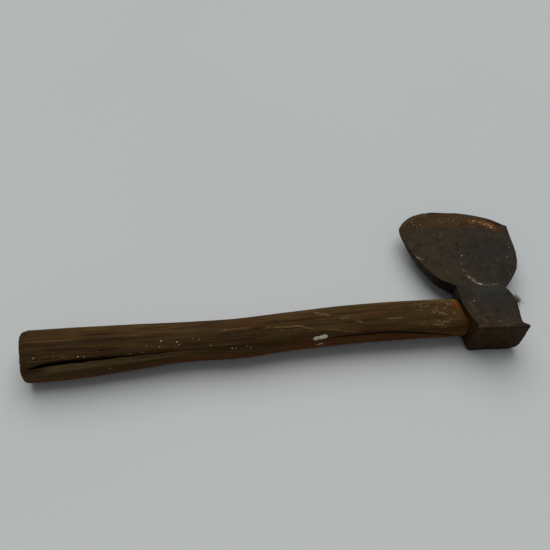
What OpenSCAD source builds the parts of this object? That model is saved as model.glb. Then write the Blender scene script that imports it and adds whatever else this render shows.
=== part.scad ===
// Bench hatchet with a broad blade, lying on its side.
// The handle runs along +X towards the head, the cutting edge looks to +Y, and
// the head's thickness is along Z. The origin is the bottom centre of the whole.

/* [Handle] */
// Length from the butt to the far side of the eye
handle_l = 384; // [340:1:430]
// Width of the butt, along Y
butt_w = 42; // [38:1:46]
// Height of the butt, along Z
butt_h = 29; // [26:1:32]
// Width of the grip, along Y
grip_w = 31.5; // [29:0.5:35]
// Height of the grip, along Z
grip_h = 22.5; // [20:0.5:25]
// Slant of the butt's end, in degrees
butt_slant = 9; // [0:1:12]
// Length of the open split in the butt's near side
split_l = 82; // [40:1:110]
// Width of the split's mouth
split_w = 2.4; // [1.5:0.1:3]
// Depth of the split
split_d = 7; // [4:0.5:9]

/* [Head] */
// Reach of the cutting edge from the handle's centre line
edge_reach = 112; // [100:1:125]
// Reach of the striking face from the handle's centre line
poll_reach = 24.5; // [23:0.5:28]
// Width of the cutting edge, along X
edge_w = 100; // [90:1:110]
// Thickness of the poll and the eye's cheeks
poll_t = 34; // [33:0.5:36]
// Length of the poll along X
poll_l = 40; // [38:0.5:42]
// Fall of the striking face over its length
poll_fall = 2.5; // [0:0.5:4]
// Radius of the striking face's worn lower corner
poll_corner = 9; // [3:0.5:11]
// Width of the neck between the eye and the blade
neck_w = 34; // [32:1:38]
// Thickness of the blade at the neck
neck_t = 14; // [12:0.5:16]
// Thickness of the blade where the bevel starts
bevel_t = 5.4; // [4.5:0.1:6.5]
// Thickness left at the cutting edge
edge_t = 0.8; // [0.5:0.1:1.2]
// Width of the steel bit behind the edge's crown
bit_w = 24; // [18:1:30]

/* [Eye] */
// Width of the eye, along Y
eye_w = 30; // [29:0.5:31]
// Height of the eye, along Z
eye_h = 23; // [22.5:0.5:24]
// Thickness of the cloth packed round the tenon
packing_t = 0.9; // [0.5:0.1:1.2]
// Length of the cloth packing
packing_l = 33; // [25:1:34]
// Length that the tenon stands out of the eye
tenon_out = 1.5; // [0:0.5:3]

/* [Wedges] */
// Depth of the kerf sawn in the tenon
kerf_d = 30; // [24:1:32]
// Width of the kerf at the tenon's end
kerf_t = 3.4; // [2.5:0.1:4]
// Width of the kerf at its root
kerf_root_t = 1.2; // [1:0.1:1.6]
// Depth of the steel cross wedge
cross_d = 17; // [12:1:20]
// Thickness of the steel cross wedge at its outer end
cross_t = 2.8; // [2:0.1:3.2]
// Height of the steel cross wedge, along Z
cross_h = 16; // [12:1:18]

/* [Hidden] */
$fn = 48;

STEPS = 5;            // points per stretch of a smooth outline
SIDES = 32;           // points round the handle
SQUARENESS = 2.8;     // superellipse exponent of the handle's section
FAR = 200;            // longer than anything it cuts

eye_x = handle_l - 18;            // the blade's centre line along X
eye_v = -0.5;                     // centre of the eye, towards the blade
mid_z = poll_t / 2;
tenon_w = eye_w - 2 * packing_t;
tenon_h = eye_h - 2 * packing_t;
tenon_end = handle_l + tenon_out;
tenon_start = eye_x - 27;
neck_v = 25;                      // where the blade's heel side meets the neck
cheek_v = 9;                      // where the flat cheeks end
blade_l = edge_reach - neck_v;
bevel_v = edge_reach - bit_w;     // where the bevel starts on the centre line
bevel_r = 79;                     // radius of the bevel's sweep
bevel_rise = (bevel_t - edge_t) / 2 / bit_w;
bevel_u = -6;                     // centre of the bevel's sweep along X

// An oval with flat sides, of the full width w and height h.
function root(s) = sign(s) * pow(abs(s), 2 / SQUARENESS);
function oval(w, h) = [
    for (k = [0 : SIDES - 1])
        [w / 2 * root(cos(360 * k / SIDES)), h / 2 * root(sin(360 * k / SIDES))]
];

// A point on the smooth curve through b and c, with a and d beyond them.
function blend(a, b, c, d, t) =
    0.5 * (2 * b + (c - a) * t + (2 * a - 5 * b + 4 * c - d) * t * t
           + (3 * b - a - 3 * c + d) * t * t * t);

// A smooth curve through the points p, without its last point.
function curve(p) = [
    for (i = [0 : len(p) - 2], k = [0 : STEPS - 1])
        blend(p[max(i - 1, 0)], p[i], p[i + 1], p[min(i + 2, len(p) - 1)], k / STEPS)
];

// The blade's outline, in shares of its width and of its length beyond the neck.
heel_side = [[-0.206, 0], [-0.293, 0.079], [-0.35, 0.152], [-0.42, 0.31], [-0.475, 0.5], [-0.515, 0.745]];
edge_line = [[-0.515, 0.745], [-0.503, 0.82], [-0.44, 0.908], [-0.345, 0.975], [-0.22, 1], [-0.06, 0.984],
             [0.16, 0.922], [0.33, 0.838], [0.451, 0.733]];
toe_side = [[0.451, 0.733], [0.437, 0.58], [0.421, 0.39], [0.379, 0.215], [0.302, 0.075], [0.15, -0.069]];

function on_blade(shares) = [for (s = shares) [s[0] * edge_w, neck_v + s[1] * blade_l]];

blade_points = concat(curve(on_blade(heel_side)), curve(on_blade(edge_line)), curve(on_blade(toe_side)));

// The eye and the poll in plan, from the neck's right corner round to its left one.
poll_left = -19.5;
poll_right = poll_left + poll_l;
neck_right = [neck_w - 20.6, 19];
neck_left = [-20.6, neck_v];
eye_right = curve([neck_right, [neck_w - 19.6, 12], [18.3, 2], [17.5, -8], [16.3, -16], [16.9, -20.3],
                   [poll_right, 1.5 - poll_reach]]);
eye_left = curve([[poll_left, poll_fall - poll_reach], [-18.6, -18], [-20.8, -13.6], [-24.2, -3], [-25.3, 7],
                  [-24, 17], neck_left]);
eye_points = concat([[0, neck_v + 8]], eye_right, [[poll_right, -poll_reach]], eye_left, [neck_left]);

// Half of the head's thickness against the distance from the handle's centre line.
side_line = concat(
    [[-poll_reach - 1, mid_z]],
    curve([[cheek_v, mid_z], [13, mid_z - 0.8], [17, mid_z - 3.2], [21, mid_z - 6.4], [25, neck_t / 2 + 1.6],
           [30, neck_t / 2], [37, neck_t * 0.41], [48, neck_t * 0.335], [bevel_v, bevel_t / 2]]),
    [[edge_reach + 5, bevel_t / 2]]);

// The whole stands on its bottom centre.
right_end = eye_x + max([for (p = blade_points) p[0]]);
far_side = max([for (p = blade_points) p[1]]);

module in_place() {
    translate([-right_end / 2, (poll_reach - far_side) / 2, 0])
        children();
}

// From the head's own plane to the handle's frame.
module on_head() {
    translate([eye_x, 0, mid_z])
        children();
}

// A bar along +X whose section lies across the handle, from x0 to x1.
module bar_along_x(x0, x1) {
    translate([x0, 0, 0])
        rotate([90, 0, 90])
            linear_extrude(x1 - x0)
                children();
}

module plan(points) {
    translate([0, 0, -FAR / 2])
        linear_extrude(FAR)
            polygon(points);
}

module side_profile() {
    other_side = [for (i = [len(side_line) - 1 : -1 : 0]) [side_line[i][0], -side_line[i][1]]];
    bar_along_x(-FAR / 2, FAR / 2)
        polygon(concat(side_line, other_side));
}

// The two bevels are cones about one axis, so the edge stays keen along its curve.
module bevels() {
    rim = edge_t / 2;
    translate([bevel_u, edge_reach - bevel_r, 0])
        rotate_extrude($fn = 180)
            polygon([[0, -rim - bevel_rise * bevel_r], [bevel_r, -rim], [bevel_r + 5, -rim],
                     [bevel_r + 5, rim], [bevel_r, rim], [0, rim + bevel_rise * bevel_r]]);
}

module blade_solid() {
    intersection() {
        plan(blade_points);
        side_profile();
        bevels();
    }
}

// The steel bit starts at a weld line that falls towards the toe.
module bit_zone() {
    plan([[-FAR, bevel_v - 30], [-0.54 * edge_w, bevel_v - 4], [-0.38 * edge_w, bevel_v - 0.6],
          [-0.2 * edge_w, bevel_v], [0.02 * edge_w, bevel_v - 1.6], [0.23 * edge_w, bevel_v - 5.4],
          [0.44 * edge_w, bevel_v - 10.4], [FAR, bevel_v - 50], [FAR, FAR], [-FAR, FAR]]);
}

// The striking face seen end on, with its lower right corner worn round.
module poll_end() {
    translate([0, 60, 0])
        rotate([90, 0, 0])
            linear_extrude(FAR)
                difference() {
                    translate([-FAR / 2, -FAR / 2])
                        square(FAR);
                    translate([poll_right - poll_corner, poll_corner - mid_z])
                        difference() {
                            translate([0, -poll_corner - 1])
                                square(poll_corner + 1);
                            circle(poll_corner);
                        }
                }
}

module eye_solid() {
    intersection() {
        plan(eye_points);
        side_profile();
        poll_end();
    }
}

module eye_hole() {
    bar_along_x(-60, 60)
        translate([eye_v, 0])
            polygon(oval(eye_w, eye_h));
}

module head() {
    color([0.24, 0.21, 0.18])
        in_place()
            on_head()
                difference() {
                    union() {
                        difference() {
                            blade_solid();
                            bit_zone();
                        }
                        eye_solid();
                    }
                    eye_hole();
                }
}

module steel_bit() {
    color([0.3, 0.24, 0.17])
        in_place()
            on_head()
                intersection() {
                    blade_solid();
                    bit_zone();
                }
}

// Stations of the handle: x, centre along Y, centre along Z, width, height.
butt_round = 3.5;
stations = [
    [0, -0.6, butt_h / 2, butt_w - 2 * butt_round, butt_h - 2 * butt_round],
    [1.5, -0.6, butt_h / 2, butt_w - 2.5, butt_h - 2.5],
    [5, -0.6, butt_h / 2, butt_w, butt_h],
    [42, -1.1, butt_h / 2 + 0.3, butt_w - 1, butt_h - 1],
    [84, -0.7, butt_h / 2 + 0.8, (butt_w + grip_w) / 2, (butt_h + grip_h) / 2],
    [125, -0.6, mid_z - 1.3, grip_w, grip_h],
    [165, -1.8, mid_z - 1, grip_w, grip_h],
    [205, 0.2, mid_z - 0.7, grip_w - 1, grip_h],
    [250, 1.6, mid_z - 0.4, grip_w - 0.5, grip_h - 0.5],
    [290, 1.2, mid_z - 0.2, grip_w, grip_h - 0.5],
    [tenon_start - 4, eye_v, mid_z, tenon_w + 2, tenon_h + 1],
    [tenon_start, eye_v, mid_z, tenon_w, tenon_h]
];
tip = [tenon_end, eye_v, mid_z, tenon_w, tenon_h];
spine = concat(curve(stations), [stations[len(stations) - 1], tip]);

// The butt's end is cut askew, and the slant dies out along the handle.
butt_far = stations[0][1] + butt_w / 2 - butt_round;
function slanted(x, y) = x + (butt_far - y) * tan(butt_slant) * pow(1 - min(x / 60, 1), 2);

function ring(s) = [for (p = oval(s[3], s[4])) [slanted(s[0], s[1] + p[0]), s[1] + p[0], s[2] + p[1]]];

module handle_body() {
    rings = len(spine);
    points = [for (s = spine) each ring(s)];
    sides = [
        for (i = [0 : rings - 2], k = [0 : SIDES - 1])
            let (a = i * SIDES + k, b = i * SIDES + (k + 1) % SIDES)
                each [[a, a + SIDES, b], [b, a + SIDES, b + SIDES]]
    ];
    near_end = [[for (k = [0 : SIDES - 1]) k]];
    far_end = [[for (k = [SIDES - 1 : -1 : 0]) (rings - 1) * SIDES + k]];
    polyhedron(points, concat(near_end, sides, far_end));
}

// What is driven into the tenon's end is placed from the end's centre.
module at_tenon_end() {
    translate([tenon_end, eye_v, mid_z])
        children();
}

// A taper that is thickest at the tenon's end, and stands out of it by over.
module taper(depth, thick, root_t, width, over) {
    translate([0, width / 2, 0])
        rotate([90, 0, 0])
            linear_extrude(width)
                polygon([[-depth, -root_t / 2], [0, -thick / 2], [over, -thick / 2],
                         [over, thick / 2], [0, thick / 2], [-depth, root_t / 2]]);
}

module kerf() {
    at_tenon_end()
        taper(kerf_d, kerf_t, kerf_root_t, tenon_w + 4, 3);
}

module cross_wedge(over) {
    at_tenon_end()
        translate([0, -4, 0])
            rotate([90, 0, 0])
                taper(cross_d, cross_t, 0.6, cross_h, over);
}

// The open split along the butt's near shoulder, widest in its first third.
module split() {
    translate([11, 6 - butt_w / 2, butt_h])
        rotate([110, 0, 2])
            linear_extrude(split_w, center = true)
                polygon([[0, 4], [0, 1 - split_d / 2], [split_l * 0.15, -split_d], [split_l * 0.5, -split_d],
                         [split_l, -1.5], [split_l, 4]]);
}

module handle() {
    color([0.25, 0.18, 0.11])
        in_place()
            difference() {
                handle_body();
                kerf();
                cross_wedge(3);
                split();
            }
}

module wooden_wedge() {
    color([0.42, 0.32, 0.2])
        in_place()
            difference() {
                intersection() {
                    kerf();
                    translate([0, eye_v, mid_z])
                        bar_along_x(0, tenon_end)
                            polygon(oval(tenon_w, tenon_h));
                }
                cross_wedge(3);
            }
}

module steel_wedge() {
    color([0.3, 0.29, 0.28])
        in_place()
            cross_wedge(0.5);
}

module eye_packing() {
    color([0.5, 0.44, 0.34])
        in_place()
            translate([0, eye_v, mid_z])
                bar_along_x(handle_l - packing_l, handle_l - 2)
                    difference() {
                        polygon(oval(eye_w, eye_h));
                        polygon(oval(tenon_w, tenon_h));
                    }
}

head();
steel_bit();
handle();
wooden_wedge();
steel_wedge();
eye_packing();
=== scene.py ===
import math

import bmesh
import bpy
import numpy as np
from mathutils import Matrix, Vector


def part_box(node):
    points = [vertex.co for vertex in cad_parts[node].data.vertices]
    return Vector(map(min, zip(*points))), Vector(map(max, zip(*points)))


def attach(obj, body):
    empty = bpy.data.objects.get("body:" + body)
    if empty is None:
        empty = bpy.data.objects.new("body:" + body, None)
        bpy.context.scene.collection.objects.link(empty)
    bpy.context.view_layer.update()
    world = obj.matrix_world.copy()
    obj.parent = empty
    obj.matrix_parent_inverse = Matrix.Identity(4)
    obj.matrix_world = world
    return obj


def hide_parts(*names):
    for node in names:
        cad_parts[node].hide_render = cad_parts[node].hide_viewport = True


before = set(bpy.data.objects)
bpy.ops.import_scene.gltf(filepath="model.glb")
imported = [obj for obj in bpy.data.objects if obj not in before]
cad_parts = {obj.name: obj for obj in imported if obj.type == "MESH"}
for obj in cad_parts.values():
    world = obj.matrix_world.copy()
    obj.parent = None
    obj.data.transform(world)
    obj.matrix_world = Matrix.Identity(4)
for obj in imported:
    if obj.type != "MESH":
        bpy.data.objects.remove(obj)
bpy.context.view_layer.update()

# Lengths are in millimetres on the drawing: the butt's end is x = 0, the handle's
# centre line is y = 0 and the surface that the hatchet lies on is z = 0.
MM = 0.001
POLL_REACH = 24.5
ORIGIN = np.array([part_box("handle")[0].x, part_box("head")[0].y + POLL_REACH * MM, 0.0])
EYE = np.array([366.0, 0.0, 17.0])        # the head's own centre on the drawing
rng = np.random.default_rng(23)


# -------------------- helpers

def place(points):
    """From the drawing, in mm, to the CAD frame, in metres."""
    return np.asarray(points, float) * MM + ORIGIN


def new_object(name, mesh):
    obj = bpy.data.objects.new(name, mesh)
    bpy.context.scene.collection.objects.link(obj)
    return obj


def from_points(name, points, faces):
    """A mesh object from points on the drawing."""
    mesh = bpy.data.meshes.new(name)
    mesh.from_pydata(place(points).tolist(), [], faces)
    mesh.update()
    return new_object(name, mesh)


def points_of(obj):
    co = np.empty(len(obj.data.vertices) * 3)
    obj.data.vertices.foreach_get("co", co)
    return (co.reshape(-1, 3) - ORIGIN) / MM


def set_points(obj, points):
    obj.data.vertices.foreach_set("co", place(points).ravel())
    obj.data.update()


def normals_of(obj):
    n = np.empty(len(obj.data.vertices) * 3)
    obj.data.vertex_normals.foreach_get("vector", n)
    return n.reshape(-1, 3)


def bake(obj):
    """Turns the object's modifiers into its mesh."""
    graph = bpy.context.evaluated_depsgraph_get()
    graph.update()
    mesh = bpy.data.meshes.new_from_object(obj.evaluated_get(graph))
    obj.modifiers.clear()
    obj.data = mesh


def boolean(obj, other, operation):
    mod = obj.modifiers.new("cut", "BOOLEAN")
    mod.operation, mod.object, mod.solver = operation, other, "MANIFOLD"
    bake(obj)


def remesh(obj, voxel, rounds):
    mod = obj.modifiers.new("voxels", "REMESH")
    mod.mode, mod.voxel_size, mod.adaptivity = "VOXEL", voxel * MM, 0
    mod = obj.modifiers.new("smooth", "SMOOTH")
    mod.factor, mod.iterations = 0.5, rounds
    bake(obj)


def drop(*objects):
    for obj in objects:
        bpy.data.objects.remove(obj, do_unlink=True)


def copy_of(node, name):
    """The CAD node's shape as one closed mesh of its own."""
    shape = bmesh.new()
    shape.from_mesh(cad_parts[node].data)
    bmesh.ops.remove_doubles(shape, verts=shape.verts, dist=1e-6)
    mesh = bpy.data.meshes.new(name)
    shape.to_mesh(mesh)
    shape.free()
    return new_object(name, mesh)


def inside(points, nodes, gap=0.03):
    """Holds the points inside the CAD boxes of the nodes."""
    boxes = [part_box(n) for n in nodes]
    lo = (np.min([b[0] for b in boxes], 0) - ORIGIN) / MM + gap
    hi = (np.max([b[1] for b in boxes], 0) - ORIGIN) / MM - gap
    lo[2] -= gap                          # the underside may touch the floor
    return np.clip(points, lo, hi)


def attribute(obj, name, values):
    layer = obj.data.attributes.new(name, "FLOAT", "POINT")
    layer.data.foreach_set("value", np.clip(values, 0, 1).astype(np.float32))


def finish_mesh(obj, angle=40):
    obj.data.shade_smooth()
    obj.data.set_sharp_from_angle(angle=math.radians(angle))


def step(x, a, b):
    """0 at a, 1 at b, smooth between; a may be the larger."""
    t = np.clip((x - a) / (b - a), 0, 1)
    return t * t * (3 - 2 * t)


def bell(x, width):
    return np.exp(-(x / width) ** 2)


PERM = np.tile(rng.permutation(256), 2)
GRAD = rng.normal(size=(256, 3))
GRAD /= np.linalg.norm(GRAD, axis=1)[:, None]


def noise(points, *cells):
    """Gradient noise, about -0.6 to 0.6. cells: the sizes of its cells along x, y and z, or one size."""
    p = points / np.array(cells, float)
    cell = np.floor(p).astype(int)
    f = p - cell
    cell &= 255
    fade = f ** 3 * (f * (f * 6 - 15) + 10)
    total = np.zeros(len(p))
    for corner in np.ndindex(2, 2, 2):
        c = (cell + corner) & 255
        g = GRAD[PERM[PERM[PERM[c[:, 0]] + c[:, 1]] + c[:, 2]]]
        weight = np.where(corner, fade, 1 - fade).prod(1)
        total += weight * ((f - corner) * g).sum(1)
    return total


def ripple(x, cell, y=0.0, z=0.0):
    """Noise along x alone, at the given y and z."""
    return noise(np.column_stack([x, x * 0 + y, x * 0 + z]), cell)


def to_line(u, v, line):
    """Distance from (u, v) to a polyline, and how far along it, from 0 to 1, the nearest point lies."""
    best = np.full(len(u), 1e9)
    along = np.zeros(len(u))
    lengths = [math.dist(a, b) for a, b in zip(line, line[1:])]
    done = 0.0
    for (a, b), length in zip(zip(line, line[1:]), lengths):
        du, dv = b[0] - a[0], b[1] - a[1]
        t = np.clip(((u - a[0]) * du + (v - a[1]) * dv) / length ** 2, 0, 1)
        d = np.hypot(u - a[0] - t * du, v - a[1] - t * dv)
        near = d < best
        best[near] = d[near]
        along[near] = (done + t[near] * length) / sum(lengths)
        done += length
    return best, along


def spline(rows, spacing):
    """A Catmull-Rom curve through the rows, with a row about every spacing along x."""
    rows = np.array(rows, float)
    out = []
    for i in range(len(rows) - 1):
        a, b = rows[max(i - 1, 0)], rows[i]
        c, d = rows[i + 1], rows[min(i + 2, len(rows) - 1)]
        n = max(2, math.ceil((c[0] - b[0]) / spacing))
        for t in np.arange(n) / n:
            out.append(0.5 * (2 * b + (c - a) * t + (2 * a - 5 * b + 4 * c - d) * t * t
                              + (3 * b - a - 3 * c + d) * t ** 3))
    return np.array(out + [rows[-1]])


# -------------------- camera

AIM = place([201.9, 68.6, 0])
AZIMUTH, ELEVATION, REACH = math.radians(-5.83), math.radians(53), 0.5233
back = Vector((math.sin(AZIMUTH) * math.cos(ELEVATION), -math.cos(AZIMUTH) * math.cos(ELEVATION),
               math.sin(ELEVATION)))
camera = bpy.data.objects.new("camera", bpy.data.cameras.new("camera"))
bpy.context.scene.collection.objects.link(camera)
camera.data.sensor_width, camera.data.lens = 36, 39.27
camera.data.clip_start, camera.data.clip_end = 0.01, 50
camera.location = Vector(AIM) + back * REACH
camera.rotation_mode = "QUATERNION"
camera.rotation_quaternion = (-back).to_track_quat("-Z", "Y")
bpy.context.scene.camera = camera
bpy.context.scene.view_settings.view_transform = "Standard"


# -------------------- node trees

class Tree:
    """A material and short calls that add nodes to it. Coordinates are in mm."""

    def __init__(self, name):
        self.mat = bpy.data.materials.new(name)
        self.mat.use_nodes = True
        self.nodes, self.links = self.mat.node_tree.nodes, self.mat.node_tree.links
        self.shader = next(n for n in self.nodes if n.type == "BSDF_PRINCIPLED")
        coords = self.nodes.new("ShaderNodeTexCoord").outputs["Object"]
        scaled = self.node("ShaderNodeVectorMath", {0: coords}, operation="SCALE")
        scaled.inputs["Scale"].default_value = 1000
        self.mm = scaled.outputs[0]

    def node(self, kind, inputs=None, **props):
        made = self.nodes.new(kind)
        for key, value in props.items():
            setattr(made, key, value)
        for key, value in (inputs or {}).items():
            if isinstance(value, bpy.types.NodeSocket):
                self.links.new(value, made.inputs[key])
            elif value is not None:
                made.inputs[key].default_value = value
        return made

    def stretch(self, x, y, z):
        shares = (1 / x, 1 / y, 1 / z)
        return self.node("ShaderNodeVectorMath", {0: self.mm, 1: shares}, operation="MULTIPLY").outputs[0]

    def noise(self, size, detail=3, rough=0.55, warp=0.0, at=None):
        n = self.node("ShaderNodeTexNoise", {"Vector": at or self.mm, "Scale": 1 / size, "Detail": detail,
                                             "Roughness": rough, "Distortion": warp})
        return n.outputs["Fac"]

    def cells(self, size, at=None):
        n = self.node("ShaderNodeTexVoronoi", {"Vector": at or self.mm, "Scale": 1 / size})
        return n.outputs["Distance"]

    def calc(self, op, a, b, clamp=False):
        return self.node("ShaderNodeMath", {0: a, 1: b}, operation=op, use_clamp=clamp).outputs[0]

    def span(self, value, a, b, to_a=0.0, to_b=1.0):
        n = self.node("ShaderNodeMapRange", {"Value": value, "From Min": a, "From Max": b,
                                             "To Min": to_a, "To Max": to_b}, interpolation_type="SMOOTHSTEP")
        return n.outputs["Result"]

    def paint(self, factor, a, b):
        n = self.node("ShaderNodeMix", {"Factor": factor}, data_type="RGBA")
        for key, value in (("A", a), ("B", b)):
            socket = next(s for s in n.inputs if s.name == key and s.type == "RGBA")
            if isinstance(value, bpy.types.NodeSocket):
                self.links.new(value, socket)
            else:
                socket.default_value = value
        return next(s for s in n.outputs if s.type == "RGBA")

    def ramp(self, factor, *stops):
        n = self.node("ShaderNodeValToRGB", {"Fac": factor})
        points = n.color_ramp.elements
        while len(points) < len(stops):
            points.new(0.5)
        for point, (where, colour) in zip(points, stops):
            point.position, point.color = where, colour
        return n.outputs["Color"]

    def attribute(self, name):
        return self.node("ShaderNodeAttribute", attribute_name=name).outputs["Fac"]

    def bump(self, height, distance, strength):
        n = self.node("ShaderNodeBump", {"Height": height, "Distance": distance * MM, "Strength": strength})
        return n.outputs["Normal"]

    def use(self, **sockets):
        for key, value in sockets.items():
            socket = self.shader.inputs[key.replace("_", " ")]
            if isinstance(value, bpy.types.NodeSocket):
                self.links.new(value, socket)
            else:
                socket.default_value = value
        return self.mat


def rgb(r, g, b):
    """A colour as it reads on a screen, 0 to 255, made linear."""
    def linear(c):
        c /= 255
        return c / 12.92 if c <= 0.04045 else ((c + 0.055) / 1.055) ** 2.4
    return (linear(r), linear(g), linear(b), 1)


def wear(obj, material):
    obj.data.materials.clear()
    obj.data.materials.append(material)


# -------------------- floor and light

def make_floor():
    side, y0 = 2600, -2200
    points = [(i * side - 2 * side, y0 + j * side, 0) for j in range(3) for i in range(5)]
    faces = [(k, k + 1, k + 6, k + 5) for j in range(2) for k in range(5 * j, 5 * j + 4)]
    floor = from_points("floor", points, faces)
    t = Tree("floor_paper")
    cloud = t.noise(420, 2, 0.5)
    t.use(Base_Color=t.ramp(cloud, (0.35, rgb(204, 209, 210)), (0.65, rgb(208, 211, 210))),
          Roughness=0.9, Specular_IOR_Level=0.1)
    wear(floor, t.mat)


def make_light():
    world = bpy.data.worlds.new("studio")
    world.use_nodes = True
    world.node_tree.nodes["Background"].inputs["Color"].default_value = (0.97, 0.985, 1.0, 1)
    world.node_tree.nodes["Background"].inputs["Strength"].default_value = 0.2
    bpy.context.scene.world = world
    key = bpy.data.lights.new("window", "SUN")
    key.energy, key.angle, key.color = 1.98, math.radians(66), (1.0, 0.99, 0.97)
    lamp = bpy.data.objects.new("window", key)
    bpy.context.scene.collection.objects.link(lamp)
    lamp.rotation_mode = "QUATERNION"
    lamp.rotation_quaternion = Vector((0.06, 0.8, 1.3)).to_track_quat("Z", "Y")


# -------------------- forged head and steel bit

# Places on the head are u along X, v along Y and w along Z, from the eye's centre.
WELD = [(-70, 79), (-54, 84), (-38, 87.4), (-20, 88), (2, 86.4), (23, 82.6), (44, 77.6), (60, 71)]
CREASE = [(-10, 50), (-9, 43), (-7.2, 34), (-3.8, 26.4), (0.5, 21.9), (6.5, 20.8), (14, 22.2)]
BEVEL_CENTRE, BEVEL_R = (-6, 33), 79
DENTS = 34                                 # in the striking face
RUST_SPOTS = [(-42, 55, 7), (-20, 43, 9), (-49, 82, 6), (-30, 90, 8)]
RUBS = [
    # u0, v0, u1, v1, half width of each bright rub on the upper cheek
    (-12, -9.9, -6, -9.7, 0.7), (-19, -20.2, -12, -20.8, 0.6), (-15, -12, -11, -17, 1.2),
    (-2.5, -17.6, 0, -16.9, 0.4), (6, -19.5, 14, -20, 0.4), (-19, 2, -16, -5, 1.4)]


def round_corner(p, axes, centre, radius, share=1.0):
    """Where both coordinates lie below the centre, pulls the points beyond the radius back to it."""
    a, b = axes
    q, r = centre[0] - p[:, a], centre[1] - p[:, b]
    out = np.hypot(np.maximum(q, 0), np.maximum(r, 0))
    pull = np.maximum(1 - radius / np.maximum(out, 1e-6), 0) * (q > 0) * (r > 0) * share
    p[:, a] += q * pull
    p[:, b] += r * pull


def forge(obj):
    """Works the plain CAD solid over as a smith and a century of use have."""
    p, n = points_of(obj), normals_of(obj)
    u, v, w = (p - EYE).T
    up, flat = np.clip(n[:, 2], 0, 1), np.abs(n[:, 2])
    d = 0.42 * noise(p, 19) + 0.2 * noise(p, 7) + 0.08 * noise(p, 2.4) - 0.02
    # scale pits, in patches
    patch = step(noise(p + 40, 14), -0.1, 0.25)
    d -= (0.08 + 0.3 * patch) * np.maximum(noise(p + 90, 2.6), 0.12)
    d -= 0.12 * np.maximum(noise(p + 9, 1.3), 0.1)
    # hammer marks on the cheeks and the neck
    d -= 0.3 * np.maximum(noise(p + 17, 6, 6, 9), 0) * step(v, 50, 25)
    # the crease where the neck was drawn out of the blade, and the blade's sunken side of it
    far, along = to_line(u, v, CREASE)
    fade = step(along, 0, 0.2) * step(along, 1, 0.8)
    d -= up * fade * (0.75 * bell(far, 0.9) + 0.35 * bell(far, 4) * step(v + 0.9 * u, 18, 24))
    # the poll's rim stands a little proud of the cheeks behind it
    rim = step(v, -21.6, -19.2) * step(v, 9, 4)
    d -= 0.55 * rim * flat + 0.3 * rim * (1 - flat) * step(w, -15, 0)
    # chipped arrises of the striking face
    face = step(v, -20, -22.5) * step(-n[:, 1], 0.5, 0.9)
    edge = step(np.abs(w), 14.2, 16.4) + step(np.abs(u - 0.5), 17.2, 19.4)
    d -= face * edge * np.maximum(noise(p + 31, 3.4) + 0.05, 0) * 1.3
    for _ in range(DENTS):
        du, dw, size = u - rng.uniform(-17, 18), w - rng.uniform(-15, 15), rng.uniform(1.2, 3.4)
        d -= face * rng.uniform(0.06, 0.3) * bell(np.hypot(du, dw * rng.uniform(0.7, 1.3)), size)
    # a faint hollow along the weld
    far, _ = to_line(u, v, WELD)
    d -= 0.14 * bell(far, 1.1) * flat
    p = p + n * d[:, None]
    # nicks and wear in the cutting edge, and in the heel's and toe's corners
    depth = BEVEL_R - np.hypot(u - BEVEL_CENTRE[0], v - BEVEL_CENTRE[1])
    nick = np.maximum(ripple(u, 4.2, z=5) - 0.12, 0) * 1.9
    nick += np.maximum(ripple(u, 1.7, z=50) - 0.2, 0) * 0.8
    p[:, 1] -= nick * step(depth, 3.2, 0) * step(v, 80, 90)
    # the striking face spreads at its left side, which is worn round
    p[:, 0] -= 2.9 * step(v, -8, -21) * step(w, 15, -6) * step(u, -6, -18)
    round_corner(p, (0, 2), (EYE[0] - 16.4, EYE[2] - 11), 5.6, step(v, -6, -14))
    round_corner(p, (0, 1), (EYE[0] - 15.9, EYE[1] - 16.9), 5.5)
    # the blade's sides are hammered, not filed
    side = (1 - flat) * step(v, 22, 30) * step(v, 104, 92)
    p[:, 0] += np.sign(u) * side * (0.5 * noise(p, 60, 5, 60) + 0.05)
    set_points(obj, inside(p, ["head", "steel_bit"]))


def weld_prism():
    """The space on the edge's side of the weld line."""
    line = spline(WELD, 2.0)
    wave = line[:, :1] * [1, 0, 0]
    line[:, 1] += 1.3 * noise(wave, 5) + 1.6 * noise(wave + 60, 14)
    plan = [(*p, 0) for p in line] + [(60, 140, 0), (-70, 140, 0)]
    n = len(plan)
    points = [np.add(p, EYE + [0, 0, dz]) for dz in (-30, 30) for p in plan]
    faces = [tuple(range(n))[::-1], tuple(range(n, 2 * n))]
    faces += [(i, (i + 1) % n, n + (i + 1) % n, n + i) for i in range(n)]
    return from_points("prism", points, faces)


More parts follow.
